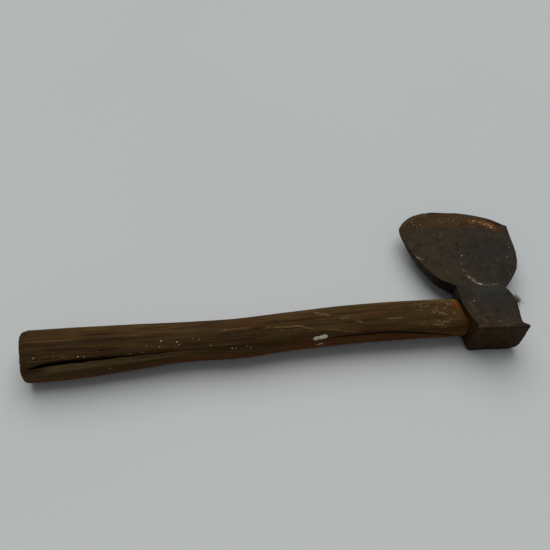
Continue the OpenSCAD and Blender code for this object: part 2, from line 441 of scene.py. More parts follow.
def paint_head(obj):
    """What the head's material needs to know at each point, from 0 to 1."""
    p, n = points_of(obj), normals_of(obj)
    u, v, w = (p - EYE).T
    up = step(n[:, 2], 0.2, 0.7)
    far, along = to_line(u, v, CREASE)
    grain = step(noise(p, 2.1), -0.3, 0.12)
    line = bell(far + 0.6 * noise(p, 3), 0.42) * step(along, 0.5, 0.58) * step(along, 0.78, 0.68)
    blots = bell(far - 0.3, 1.1) * bell(along - 0.44, 0.07) * step(noise(p + 3, 1.8), -0.05, 0.1)
    dust = 0.35 * bell(far, 1.6) * step(noise(p + 6, 1.1), 0.05, 0.25) * step(along, 0.05, 0.3)
    chalk = up * np.maximum(np.maximum(line * grain, blots), dust)
    attribute(obj, "chalk", chalk)
    # painted sheen: blue-grey, on the neck and on part of the blade, strongest on faces turned up
    sheen = bell(np.hypot((u - 2) / 15, (v - 11) / 14), 1) * (0.4 + 0.6 * up)
    sheen += 0.55 * up * bell(np.hypot((u - 26) / 20, (v - 56) / 15), 1)
    attribute(obj, "sheen", sheen)
    # painted shade: inside the eye, in the gap beside the handle, on the blade's side faces at the heel and
    # on the eye's left walls
    hole = step(np.abs(w), 12.6, 11.9) * step(np.abs(v + 0.5), 16, 15.3)
    gap = bell(np.hypot((u + 22) / 6, (v - 13) / 15), 1) * step(w, 17, 12) * step(n[:, 0], 0.2, -0.4)
    shade = np.maximum(0.85 * gap, hole * step(np.abs(n[:, 0]), 0.9, 0.5))
    heel = bell(np.hypot((u + 20) / 30, (v - 33) / 12), 1) * (1 - up)
    gully = 0.6 * step(n[:, 0], -0.2, -0.7) * step(v, -16, -8) * step(v, 22, 14)
    attribute(obj, "painted_shade", np.maximum(np.maximum(shade, heel), gully))
    face = step(v, -19.5, -22) * step(-n[:, 1], 0.3, 0.8)
    wall = step(n[:, 0], -0.2, -0.7) * step(v, 6, -8) * step(w, 17, 15)
    attribute(obj, "poll", np.maximum(face, wall))
    warm = 0.25 + 1.1 * noise(p + 61, 21) + 0.6 * noise(p + 13, 8)
    warm += 0.6 * step(u, 12, -38) * step(v, 20, 40)
    warm += 0.6 * step(v, 2, -14) + 0.5 * bell(np.hypot((u + 14) / 15, (v - 38) / 11), 1)
    warm -= 0.6 * bell(np.hypot((u - 14) / 20, (v - 60) / 16), 1)
    # the blade's two sides, found row by row along v
    row = ((v + 30) / 1.5).astype(int)
    left, right = np.full(row.max() + 1, 99.0), np.full(row.max() + 1, -99.0)
    np.minimum.at(left, row, u)
    np.maximum.at(right, row, u)
    warm += 0.6 * np.maximum(bell(u - left[row], 3.2), bell(right[row] - u, 3.2)) * step(v, 28, 40)
    for at_u, at_v, size in RUST_SPOTS:
        warm += 0.9 * bell(np.hypot(u - at_u, v - at_v), size)
    attribute(obj, "warm", warm)
    moss = bell(np.hypot((u + 30) / 15, (v - 76) / 10), 1)
    moss += 0.8 * bell(np.hypot((u + 8) / 16, (v - 68) / 9), 1)
    attribute(obj, "olive", moss + 0.5 * noise(p + 70, 12))
    rub = np.zeros(len(p))
    for u0, v0, u1, v1, size in RUBS:
        far, _ = to_line(u, v, [(u0, v0), (u1, v1)])
        broken = step(noise(p + u0, 2.2), -0.35, 0.05)
        rub = np.maximum(rub, bell(np.maximum(far - 0.1, 0), size) * broken)
    attribute(obj, "rub", rub * up)
    far, _ = to_line(u, v, WELD)
    attribute(obj, "band", bell(far + 6 * noise(p + 25, 9), 5.5) * (0.6 + 0.9 * noise(p, 3)))


def paint_bit(obj):
    """What the bit's material needs to know at each point, from 0 to 1."""
    p, n = points_of(obj), normals_of(obj)
    u, v, _ = (p - EYE).T
    up = step(n[:, 2], 0.2, 0.7)
    along, across = (u - 28) * 0.78 - (v - 91.5) * 0.62, (u - 28) * 0.62 + (v - 91.5) * 0.78
    orange = bell(np.hypot(along / 9.5, across / 4.4), 1)
    orange += 0.55 * bell(np.hypot((u - 14) / 7, (v - 97) / 4.5), 1)
    orange = (orange + 0.6 * noise(p, 4.5, 2, 3)) * step(orange, 0.1, 0.5)
    attribute(obj, "orange", orange * (0.35 + 0.65 * up))
    far, _ = to_line(u, v, WELD)
    attribute(obj, "band", bell(far + 3 * noise(p + 25, 7), 3.2))
    olive = bell(np.hypot((u + 4) / 26, (v - 100) / 9), 1)
    attribute(obj, "olive", olive * up)
    depth = BEVEL_R - np.hypot(u - BEVEL_CENTRE[0], v - BEVEL_CENTRE[1])
    attribute(obj, "keen", step(depth, 3.4, 0.4))


def bit_skin(t, skin, mid, fine):
    """Orange rust and an olive bloom on the ground bevel, brighter at the cutting edge."""
    hot = t.calc("MULTIPLY", t.attribute("orange"), t.span(t.noise(2.6, 5, 0.7, 0.8), 0.36, 0.6), True)
    skin = t.paint(hot, skin, t.ramp(fine, (0.4, rgb(88, 42, 12)), (0.62, rgb(138, 80, 30))))
    skin = t.paint(t.calc("MULTIPLY", t.attribute("band"), 0.8), skin, rgb(45, 41, 35))
    moss = t.calc("MULTIPLY", t.attribute("olive"), t.span(t.noise(3, 4, 0.7), 0.4, 0.6), True)
    skin = t.paint(moss, skin, t.ramp(fine, (0.35, rgb(61, 46, 17)), (0.65, rgb(82, 61, 26))))
    scab = t.span(t.attribute("orange"), 0.45, 0.8)
    flakes = t.span(t.noise(1, 3, 0.6, 0.8, at=t.stretch(3.2, 1.3, 2)), 0.55, 0.62)
    skin = t.paint(t.calc("MULTIPLY", scab, flakes, True), skin, rgb(226, 184, 122))
    dust = t.span(t.noise(1.1, 3, 0.6, 0.6), 0.56, 0.66, 0, 0.75)
    skin = t.paint(t.calc("MULTIPLY", t.attribute("olive"), dust, True), skin, rgb(128, 106, 58))
    bright = t.calc("MULTIPLY", t.attribute("keen"), t.span(mid, 0.42, 0.6), True)
    return t.paint(bright, skin, rgb(78, 61, 42))


def head_skin(t, skin, broad, mid, fine):
    """Zones of olive and brown, blue-grey with a painted sheen, painted shade in the corners and recesses,
    rubbed spots and lime in the crease.
    """
    moss = t.calc("MULTIPLY", t.attribute("olive"), t.span(mid, 0.4, 0.58, 0, 0.8), True)
    skin = t.paint(moss, skin, rgb(53, 50, 33))
    brown = t.calc("MULTIPLY", t.attribute("warm"), t.span(mid, 0.34, 0.6), True)
    earth = t.ramp(broad, (0.4, rgb(62, 42, 31)), (0.6, rgb(58, 50, 34)))
    skin = t.paint(t.calc("MULTIPLY", brown, 0.85), skin, earth)
    edge = t.calc("MULTIPLY", t.attribute("band"), t.span(fine, 0.3, 0.6), True)
    skin = t.paint(edge, skin, rgb(60, 48, 32))
    # painted sheen, blue-grey
    blue = t.calc("MULTIPLY", t.attribute("sheen"), t.span(mid, 0.25, 0.55, 0.45, 0.9), True)
    skin = t.paint(blue, skin, rgb(46, 48, 46))
    # painted shade in the corners and recesses
    skin = t.paint(t.attribute("painted_shade"), skin, rgb(25, 19, 13))
    face = t.ramp(mid, (0.35, rgb(46, 30, 9)), (0.65, rgb(63, 42, 15)))
    skin = t.paint(t.calc("MULTIPLY", t.attribute("poll"), 0.85), skin, face)
    rub = t.calc("MULTIPLY", t.attribute("rub"), t.span(fine, 0.4, 0.6, 0.1, 0.55))
    skin = t.paint(rub, skin, rgb(92, 80, 60))
    return t.paint(t.attribute("chalk"), skin, rgb(196, 186, 160))


def iron(name, bit):
    """Old forged iron with patina, rust, pits and scratches. The bit is browner than the rest."""
    t = Tree(name)
    broad, mid, fine = t.noise(17, 4, 0.55, 0.9), t.noise(5.2, 4, 0.6, 0.4), t.noise(1.1, 3, 0.6)
    if bit:
        skin = t.ramp(broad, (0.3, rgb(40, 27, 16)), (0.5, rgb(52, 36, 21)), (0.7, rgb(61, 45, 27)))
    else:
        skin = t.ramp(broad, (0.3, rgb(34, 30, 24)), (0.5, rgb(42, 37, 29)), (0.7, rgb(50, 45, 35)))
    spots = 1.0 if bit else 0.62
    skin = t.paint(t.span(mid, 0.5, 0.68, 0, 0.7 * spots), skin, rgb(64, 49, 32))
    skin = t.paint(t.span(mid, 0.46, 0.3, 0, 0.4 * spots), skin, rgb(29, 23, 18))
    rust = t.noise(9, 5, 0.62, 1.2)
    skin = t.paint(t.span(rust, 0.55, 0.7, 0, 0.38 * spots), skin, rgb(70, 38, 20))
    skin = bit_skin(t, skin, mid, fine) if bit else head_skin(t, skin, broad, mid, fine)
    # pale mineral specks, dark pits and long scratches
    dots = t.span(t.cells(5.2), 0.075, 0.045)
    skin = t.paint(t.calc("MULTIPLY", dots, 0.35), skin, rgb(170, 158, 132))
    pits = t.span(t.cells(1.9, at=t.stretch(1, 1.2, 1)), 0.26, 0.1)
    pits = t.calc("MULTIPLY", pits, t.span(mid, 0.42, 0.6), True)
    skin = t.paint(t.calc("MULTIPLY", pits, 0.6 * spots), skin, rgb(30, 24, 20))
    lines = t.span(t.noise(1, 2, 0.5, 0.3, at=t.stretch(0.5, 14, 6)), 0.64, 0.7)
    lines = t.calc("MULTIPLY", lines, t.span(broad, 0.45, 0.6), True)
    skin = t.paint(t.calc("MULTIPLY", lines, 0.3), skin, rgb(120, 110, 96))
    rough = t.span(fine, 0.3, 0.7, 0.5, 0.72)
    rough = t.calc("ADD", rough, t.span(rust, 0.5, 0.68, 0, 0.14))
    height = t.calc("ADD", t.calc("MULTIPLY", fine, 0.7), t.calc("MULTIPLY", mid, 0.9))
    height = t.calc("SUBTRACT", height, t.calc("MULTIPLY", pits, 0.8))
    height = t.calc("SUBTRACT", height, t.calc("MULTIPLY", lines, 0.15))
    return t.use(Base_Color=skin, Roughness=rough, Metallic=0.1, Specular_IOR_Level=0.07,
                 Normal=t.bump(height, 0.18, 0.9))


def make_head():
    body = copy_of("head", "head_forging")
    other = copy_of("steel_bit", "bit_copy")
    boolean(body, other, "UNION")
    drop(other)
    remesh(body, 0.42, 3)
    forge(body)
    bit = new_object("bit_steel", body.data.copy())
    prism = weld_prism()
    boolean(bit, prism, "INTERSECT")
    boolean(body, prism, "DIFFERENCE")
    drop(prism)
    paint_head(body)
    paint_bit(bit)
    for piece, node, slot, material in ((body, "head", "forged_iron", iron("forged_iron", False)),
                                        (bit, "steel_bit", "edge_steel", iron("edge_steel", True))):
        wear(piece, material)
        finish_mesh(piece)
        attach(piece, "root")
        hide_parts(node)
    return body, bit


# -------------------- wooden handle

STATIONS = [
    # x, centre y, centre z, width, height, facets
    (0, -0.6, 14.5, 36, 23, 1), (0.7, -0.6, 14.5, 39, 25.6, 1), (2.2, -0.6, 14.5, 41.2, 27.8, 1),
    (5, -0.6, 14.5, 42, 29, 1), (9, -0.6, 14.5, 42.2, 29, 1),
    (42, -1.1, 14.8, 41, 28, 1), (84, -0.7, 15.3, 36.75, 25.75, 0.9), (125, -0.6, 15.7, 31.5, 22.5, 0.6),
    (165, -1.8, 16, 31.5, 22.5, 0.35), (205, 0.2, 16.3, 30.5, 22.5, 0.3), (250, 1.6, 16.6, 31, 22, 0.35),
    (290, 1.2, 16.8, 31.5, 22, 0.4), (335, -0.5, 17, 30.2, 22.2, 0.3), (339, -0.5, 17, 28.2, 21.2, 0),
    (385.4, -0.5, 17, 28.2, 21.2, 0)]
# The whittled facets: direction of each face round the handle, in degrees from +Y
# towards +Z, and how near the centre it lies as a share of the plain oval.
FACETS = [(38, 0.955), (73, 0.972), (102, 0.962), (141, 0.985), (170, 0.975), (208, 0.96), (243, 0.965),
          (272, 0.975), (307, 0.955), (344, 0.975)]
SQUARENESS = 2.8                           # of the oval: 2 is an ellipse
HANDLE_R = 15.0                            # its mean radius
# The open split in the butt and the long check near the head: x, and the direction round the handle.
SPLIT = [(9, 151), (14, 148.5), (24, 144), (34, 141.5), (55, 141), (72, 142), (88, 143.5), (126, 147)]
SPLIT_SIZE = [
    # x, width, depth
    (9, 0.3, 0.4), (12, 0.9, 1.8), (19, 1.7, 4.2), (34, 1.9, 5), (52, 1.5, 4.6), (66, 1.1, 3.8),
    (79, 0.9, 2.4), (90, 0.8, 1.1), (112, 0.6, 0.6), (127, 0.4, 0.1)]
CHECK = [(232, 156), (250, 157.5), (284, 155.5), (306, 166), (322, 177), (336, 191)]
DRYING_CHECKS = 120
STROKES = [
    # x0, y0, x1, y1, half width of each light scrape on the upper side
    (189, -0.8, 205, -2.6, 0.4), (207, -2.3, 214, -2.4, 0.6), (214, -2.6, 220, -4.4, 0.5),
    (219, -4.6, 225, -5.8, 0.35), (234, -7.8, 241, -7.8, 0.35), (241, -8, 248.6, -9.9, 0.3),
    (250, -10, 259, -10.9, 0.45), (257, -1.6, 262, -3.8, 0.5), (227, 8.8, 237, 5.2, 0.8),
    (231, 5, 234, 6.4, 0.5), (246, 0.6, 251.4, 1.3, 0.6), (282.6, -2.7, 294, -3.2, 0.45),
    (316, -10.6, 324, -11.3, 0.7), (320, 1, 329, -4.6, 0.6), (315, 11.5, 331, 10.6, 0.6),
    (331, 6.4, 334, 2.7, 0.8), (155, 0, 158, 0.2, 0.4)]
DABS = [
    # x, direction round the handle, half length and half width of each lump of the two dabs of paint
    (225.4, 153, 2.0, 1.4), (228.6, 151.5, 2.6, 1.4), (231.8, 149.5, 2.0, 1.5),
    (226.9, 178, 1.1, 0.6), (229.4, 174.5, 1.9, 0.5)]


def section(theta, w, h, faceted):
    """Distance from the handle's centre to its surface in direction theta."""
    def plain(t):
        wide, high = np.abs(np.cos(t)) * 2 / w, np.abs(np.sin(t)) * 2 / h
        return (wide ** SQUARENESS + high ** SQUARENESS) ** (-1 / SQUARENESS)
    dual = SQUARENESS / (SQUARENESS - 1)
    power = 30
    total = plain(theta) ** -power
    for angle, share in FACETS:
        a = math.radians(angle)
        reach = ((w / 2 * abs(math.cos(a))) ** dual + (h / 2 * abs(math.sin(a))) ** dual) ** (1 / dual)
        near = reach * (1 - (1 - share) * faceted) + 1.2 * (1 - faceted)
        total += (np.maximum(np.cos(theta - a), 0) / near) ** power
    return total ** (-1 / power)


def loft():
    """The handle's grid: rings along it, each with its points closest together where the wood has split."""
    spine = spline(STATIONS, 1.05)
    count = 300
    fine = np.linspace(0, 2 * math.pi, 4000, endpoint=False)
    density = 1 + 2.2 * bell(fine - math.radians(145), math.radians(16)) \
        + 0.9 * bell(fine - math.radians(172), math.radians(25))
    total = np.cumsum(density) / density.sum()
    theta = np.interp(np.arange(count) / count, total, fine)
    rings = []
    for x, cy, cz, w, h, faceted in spine:
        r = section(theta, w, h, faceted)
        y, z = r * np.cos(theta), r * np.sin(theta)
        y *= w / (y.max() - y.min())
        z *= h / (z.max() - z.min())
        y -= (y.max() + y.min()) / 2
        z -= (z.max() + z.min()) / 2
        rings.append(np.column_stack([np.full(count, x), cy + y, cz + z]))
    first, last = rings[0], rings[-1]
    inner = [0.93, 0.86, 0.78, 0.7, 0.61, 0.52, 0.43, 0.34, 0.25, 0.16, 0.08, 0.03]
    shrink = lambda ring, s: ring.mean(0) + (ring - ring.mean(0)) * [1, s, s]
    rings = [shrink(first, s) for s in inner[::-1]] + rings + [shrink(last, s) for s in inner]
    grid = np.array(rings)
    x, y = grid[:, :, 0], grid[:, :, 1]
    slant = np.clip(10 - y, 0, 23) * math.tan(math.radians(9)) * (1 - np.minimum(x / 60, 1)) ** 2
    # the shoulder follows the eye's slanted mouth
    reach = eye_mouth(y) - 0.5 - 339.4
    grid[:, :, 0] += slant + reach * step(x, 312, 338) * step(x, 366, 341)
    return grid, theta, len(inner)


def eye_mouth(y):
    """Where the eye starts along the handle, at a distance y from the centre line."""
    return EYE[0] + np.interp(y, [-22, -18, -13.6, -3, 7, 17], [-19.5, -18.6, -20.8, -24.2, -25.3, -24])


def grid_faces(rows, count):
    faces = []
    for i in range(rows - 1):
        for k in range(count):
            a, b = i * count + k, i * count + (k + 1) % count
            faces.append((a, b, b + count, a + count))
    faces.append(tuple(reversed(range(count))))
    faces.append(tuple(range((rows - 1) * count, rows * count)))
    return faces


def degrees_from(angle, start):
    return (angle - start + 180) % 360 - 180


def round_from(angle, start):
    """Distance round the handle from the direction start, in mm."""
    return np.radians(degrees_from(angle, start)) * HANDLE_R


def cut_split(d, p, angle, ends):
    """Cuts the open split into the push d, raises the wood below it and returns how dark it is."""
    x = p[:, 0]
    centre = np.interp(x, *zip(*SPLIT)) + 2.2 * ripple(x, 9) + 1.2 * ripple(x, 3.1, z=30)
    s = round_from(angle, centre) * 1.12
    xs, widths, depths = zip(*SPLIT_SIZE)
    width = np.interp(x, xs, widths) * (1 + 0.5 * ripple(x, 6, y=9))
    depth = np.interp(x, xs, depths, left=0, right=0)
    mouth = 1 / (1 + (np.abs(s) / (width / 2 + 0.05)) ** 5)
    live = step(x, 8.5, 12) * step(x, 130, 118) * ends
    d -= depth * mouth * live
    d += bell(s - width / 2 - 1.5, 1.2) * step(x, 14, 26) * step(x, 165, 120) * ends
    d -= 0.7 * bell(s - width / 2 - 4.4, 1.8) * step(x, 40, 75) * step(x, 170, 125) * ends
    d -= 0.35 * bell(s + width / 2 + 0.4, 0.8) * step(x, 14, 26) * live
    return mouth * live * step(x, 10, 13) * step(x, 128, 104)


def cut_long_check(d, p, angle):
    x = p[:, 0]
    s = round_from(angle, np.interp(x, *zip(*CHECK)) + 2.4 * ripple(x, 12, z=70))
    size = step(x, 230, 246) * step(x, 340, 326)
    gape = bell(s, 0.42 + 0.3 * size) * size
    d -= 1.3 * gape
    d -= 0.3 * bell(s + 1.6, 1.6) * size
    return gape


def cut_drying_checks(d, p, angle):
    """Short checks all over the handle, longest where it is slender."""
    x = p[:, 0]
    dark = np.zeros(len(p))
    for _ in range(DRYING_CHECKS):
        x0, a0, length = rng.uniform(4, 330), rng.uniform(0, 360), rng.uniform(8, 46)
        if 60 < x0 < 240:
            length *= 1.3
        deep, wide = rng.uniform(0.12, 0.5), rng.uniform(0.28, 0.5)
        near = np.abs(x - x0) < length
        q = x[near]
        s = round_from(angle[near], a0) + 0.8 * ripple(q, 14, y=a0)
        cut = bell(s, wide) * bell((q - x0) / length * 1.9, 1) ** 2
        d[near] -= deep * cut
        # painted shade, darker in deeper checks
        dark[near] = np.maximum(dark[near], 0.75 * cut * deep / 0.5)
    return dark


def scraped(p, angle):
    """Light strokes where the skin is scraped off."""
    up = degrees_from(angle, 90)
    top = step(up, -75, -60) * step(up, 75, 60)
    worn = np.zeros(len(p))
    for x0, y0, x1, y1, size in STROKES:
        far, _ = to_line(p[:, 0], p[:, 1], [(x0, y0), (x1, y1)])
        worn = np.maximum(worn, top * bell(far, size) * step(noise(p + x0, 2.6, 1.2, 1.2), -0.3, 0))
    return worn


def dabbed(p, angle):
    """The two dabs of paint."""
    paint = np.zeros(len(p))
    for x0, a0, reach, half in DABS:
        away = np.hypot((p[:, 0] - x0) / reach, round_from(angle, a0) / half) + 0.6 * noise(p + 20, 1.8)
        paint = np.maximum(paint, step(away, 1.1, 0.85))
    return paint


def handle_wear(p, angle, ends):
    """How far each point of the handle's surface moves out, in mm, and what its material needs to know."""
    x = p[:, 0]
    grain = 0.16 * noise(p, 70, 2.6, 2.6) + 0.12 * noise(p + 33, 38, 1.15, 1.15)
    grain += 0.34 * noise(p, 45, 16, 16)
    d = grain * (1 - 0.25 * step(x, 95, 150)) + 0.08 * noise(p, 9, 3, 3) - 0.12
    crack = cut_split(d, p, angle, ends)
    crack = np.maximum(crack, cut_long_check(d, p, angle))
    crack = np.maximum(crack, cut_drying_checks(d, p, angle))
    # chipped and lifted spots near the head
    bare = step(noise(p + 77, 5, 3, 3) + 0.7 * noise(p + 71, 1.8), 0.1, 0.3)
    bare *= step(x, 300, 314) * step(x, 338, 332) * bell(degrees_from(angle, 98), 62)
    d -= 0.12 * bare
    paint = dabbed(p, angle)
    d += 0.16 * paint * step(noise(p, 1.5), -0.4, 0.2)
    return d, crack, bare, paint, scraped(p, angle)


def make_handle():
    grid, theta, caps = loft()
    rows, count = grid.shape[:2]
    obj = from_points("handle_wood", grid.reshape(-1, 3), grid_faces(rows, count))
    p, n = points_of(obj), normals_of(obj)
    angle = np.tile(np.degrees(theta), rows)
    row = np.repeat(np.arange(rows), count)
    along = (row >= caps) & (row < rows - caps)
    gap = eye_mouth(p[:, 1]) - p[:, 0]
    tenon = step(gap, 0.9, -1.2)
    d, crack, bare, paint, worn = handle_wear(p, angle, along)
    # the butt's sawn end, battered at its rim
    butt = row <= caps
    d[butt] = 0.35 * noise(p[butt], 30, 4, 1.2) + 0.3 * noise(p[butt] + 8, 5) - 0.22
    rim = step(p[:, 0], 14, 3) * along
    d -= 0.7 * rim * np.maximum(noise(p + 12, 5), 0)
    d = d * (1 - tenon) - 0.06 * tenon
    crack *= 1 - tenon
    p = p + n * d[:, None]
    p[:, 2] = np.maximum(p[:, 2], 0.02)
    set_points(obj, inside(p, ["handle"]))
    # what the material needs to know
    x = p[:, 0]
    grip = step(x, 70, 130)
    under = 0.8 * step(n[:, 2], 0.2 + 0.35 * grip, -0.35 + 0.35 * grip) * step(-n[:, 1], 0.1, 0.5)
    turn = angle + 5 * noise(p, 40, 8, 8)
    # grime, and painted shade on the upper near facets that face away from the light; near the head also on
    # the top
    grime_and_shade = step(turn, 78 + 4 * grip, 83 + 9 * grip) * step(turn, 160, 140) * step(x, 348, 318)
    grime_and_shade *= 1 - 0.6 * step(x, 170, 250)
    dusk = step(turn, 45, 62) * step(turn, 165, 140) * step(x, 285, 312) * step(x, 350, 335)
    grime_and_shade = np.maximum(grime_and_shade, 0.36 * dusk)
    lip = 0.7 * bell(angle - np.interp(x, *zip(*SPLIT)) - 13, 6) * step(x, 14, 30) * step(x, 170, 110)
    # painted highlight along the ridge between the top facets
    ridge_highlight = 0.5 * bell(turn - 77 - 4 * grip, 2.5) * step(noise(p, 30, 3, 3), -0.1, 0.3)
    worn = np.maximum(worn, np.maximum(lip, ridge_highlight) * along)
    rust = bell(np.maximum(gap, 0), 4.2) * step(p[:, 1], -7, 7) + 0.35 * bell(np.maximum(gap, 0), 2.2)
    rust *= step(gap, -5, -1.5)
    dry = step(gap, 40, 4) * step(gap, -5, -1.5) * along
    stub = step(x + 2 * noise(p, 5), 8, 3)
    for name, values in (("crack", crack), ("bare", bare), ("paint", paint), ("under", under), ("stub", stub),
                         ("grime_and_shade", grime_and_shade), ("worn", worn), ("rust", rust), ("dry", dry)):
        attribute(obj, name, values)
    return obj


def wood(name):
    """Old hardwood, dark with oil and dirt and with painted shade on its near facets, its grain along X."""
    t = Tree(name)
    broad = t.noise(1, 4, 0.55, 0.4, at=t.stretch(62, 9, 9))
    bands = t.noise(1, 5, 0.62, 0.25, at=t.stretch(48, 2.3, 2.3))
    fibre = t.noise(1, 4, 0.7, 0.1, at=t.stretch(20, 0.42, 0.42))
    blotch = t.noise(22, 4, 0.6, 0.7)
    skin = t.ramp(broad, (0.3, rgb(51, 34, 15)), (0.5, rgb(68, 47, 23)), (0.72, rgb(86, 65, 35)))
    skin = t.paint(t.span(bands, 0.5, 0.66, 0, 0.6), skin, rgb(90, 66, 34))
    skin = t.paint(t.span(bands, 0.48, 0.33, 0, 0.7), skin, rgb(37, 24, 9))
    skin = t.paint(t.span(fibre, 0.53, 0.7, 0, 0.45), skin, rgb(102, 78, 42))
    skin = t.paint(t.span(fibre, 0.46, 0.3, 0, 0.5), skin, rgb(30, 19, 9))
    skin = t.paint(t.span(blotch, 0.52, 0.68, 0, 0.45), skin, rgb(75, 40, 19))
    skin = t.paint(t.span(blotch, 0.46, 0.32, 0, 0.4), skin, rgb(61, 52, 27))
    tint = t.noise(1, 3, 0.55, 0.5, at=t.stretch(30, 7, 7))
    skin = t.paint(t.span(tint, 0.52, 0.66, 0, 0.55), skin, rgb(62, 52, 22))
    skin = t.paint(t.span(tint, 0.46, 0.33, 0, 0.55), skin, rgb(60, 34, 14))
    # grime and painted shade on the near facets
    grime_and_shade_tone = t.calc("MULTIPLY", t.attribute("grime_and_shade"), t.span(bands, 0.3, 0.6, 0.95, 0.5), True)
    skin = t.paint(t.calc("MULTIPLY", grime_and_shade_tone, 0.62), skin, rgb(24, 14, 6))
    warm = t.calc("MULTIPLY", t.attribute("under"), t.span(bands, 0.32, 0.62, 0.45, 1.0), True)
    skin = t.paint(warm, skin, t.ramp(fibre, (0.35, rgb(76, 43, 17)), (0.65, rgb(112, 68, 30))))
    # near the head: bare dry wood, and rust that the iron has left
    rusty = t.calc("MULTIPLY", t.attribute("rust"), t.span(t.noise(4, 4, 0.6, 0.8), 0.38, 0.56), True)
    dry = t.calc("MULTIPLY", t.attribute("dry"), t.span(t.noise(3.4, 5, 0.7, 0.5), 0.46, 0.6, 0, 0.3), True)
    skin = t.paint(t.calc("MULTIPLY", t.attribute("stub"), 0.5), skin, rgb(46, 42, 22))
    # scrapes and worn spots, and a painted highlight along the ridge
    skin = t.paint(t.attribute("worn"), skin, rgb(112, 94, 60))
    skin = t.paint(dry, skin, t.ramp(fibre, (0.35, rgb(74, 56, 28)), (0.65, rgb(104, 82, 44))))
    chips = t.calc("MULTIPLY", t.attribute("bare"), t.span(t.noise(1.6, 3, 0.6), 0.45, 0.56), True)
    skin = t.paint(chips, skin, t.ramp(fibre, (0.35, rgb(90, 74, 48)), (0.65, rgb(134, 118, 86))))
    skin = t.paint(rusty, skin, t.ramp(tint, (0.4, rgb(112, 56, 16)), (0.6, rgb(120, 82, 28))))
    # open grain and cracks
    pores = t.span(t.cells(1, at=t.stretch(9, 0.55, 0.55)), 0.2, 0.06)
    pores = t.calc("MULTIPLY", pores, t.span(bands, 0.4, 0.55), True)
    skin = t.paint(t.calc("MULTIPLY", pores, 0.55), skin, rgb(26, 17, 11))
    # painted shade in the cracks and checks, darker where the checks are deeper
    skin = t.paint(t.attribute("crack"), skin, rgb(20, 13, 6))
    # fine spatter and the two dabs of paint
    dots = t.span(t.cells(3.1), 0.085, 0.05)
    dots = t.calc("MULTIPLY", dots, t.span(t.noise(24, 2, 0.5), 0.53, 0.6, 0, 0.6), True)
    skin = t.paint(dots, skin, rgb(176, 162, 138))
    dab = t.calc("MULTIPLY", t.attribute("paint"), t.span(t.noise(1.2, 3, 0.6), 0.3, 0.42), True)
    skin = t.paint(dab, skin, rgb(196, 190, 174))
    rough = t.span(bands, 0.35, 0.65, 0.56, 0.74)
    rough = t.calc("ADD", rough, t.calc("MULTIPLY", t.attribute("crack"), 0.25), True)
    height = t.calc("ADD", t.calc("MULTIPLY", bands, 0.8), t.calc("MULTIPLY", fibre, 0.7))
    height = t.calc("SUBTRACT", height, t.calc("MULTIPLY", pores, 0.6))
    height = t.calc("ADD", height, t.calc("MULTIPLY", t.calc("MAXIMUM", dots, dab), 0.5))
    return t.use(Base_Color=skin, Roughness=rough, Specular_IOR_Level=0.05, Normal=t.bump(height, 0.3, 0.9))


# -------------------- wedges

def make_wedge(node, name, voxel, rough_by, material):
    """A driven wedge: the CAD solid with its arrises worn and its outer end bruised by the hammer."""
    obj = copy_of(node, name)
    remesh(obj, voxel, 2)
    p, n = points_of(obj), normals_of(obj)
    d = rough_by * (noise(p, 18, 1.4, 1.4) + 0.6 * noise(p + 20, 1.2)) - 0.05
    end = step(p[:, 0], 383.5, 385.5) * step(n[:, 0], 0.4, 0.9)
    d -= end * 0.5 * np.maximum(noise(p + 51, 2.2), 0)
    set_points(obj, inside(p + n * d[:, None], [node], 0.01))
    wear(obj, material)
    finish_mesh(obj)
    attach(obj, "root")
    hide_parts(node)


def wedge_wood():
    t = Tree("wedge_wood")
    fibre = t.noise(1, 5, 0.65, 0.2, at=t.stretch(11, 0.5, 0.5))
    stain = t.noise(5, 4, 0.6, 0.6)
    skin = t.ramp(fibre, (0.3, rgb(92, 68, 42)), (0.5, rgb(122, 94, 60)), (0.7, rgb(146, 118, 80)))
    skin = t.paint(t.span(stain, 0.48, 0.66, 0, 0.75), skin, rgb(58, 40, 25))
    ends = t.span(t.cells(0.5), 0.25, 0.1, 0, 0.5)
    skin = t.paint(ends, skin, rgb(44, 30, 19))
    height = t.calc("ADD", fibre, t.calc("MULTIPLY", ends, -0.8))
    return t.use(Base_Color=skin, Roughness=t.span(fibre, 0.3, 0.7, 0.62, 0.82), Specular_IOR_Level=0.25,
                 Normal=t.bump(height, 0.15, 0.8))


def wedge_steel():
    t = Tree("wedge_steel")
    mid, fine = t.noise(2.2, 5, 0.65, 0.4), t.noise(0.5, 4, 0.7)
    skin = t.ramp(mid, (0.3, rgb(46, 36, 30)), (0.52, rgb(84, 52, 32)), (0.7, rgb(118, 70, 36)))
    skin = t.paint(t.span(fine, 0.5, 0.7, 0, 0.5), skin, rgb(98, 84, 70))
    return t.use(Base_Color=skin, Roughness=t.span(mid, 0.3, 0.7, 0.5, 0.78), Metallic=0.25,
                 Specular_IOR_Level=0.35, Normal=t.bump(t.calc("ADD", mid, fine), 0.12, 0.9))


# -------------------- cloth packing

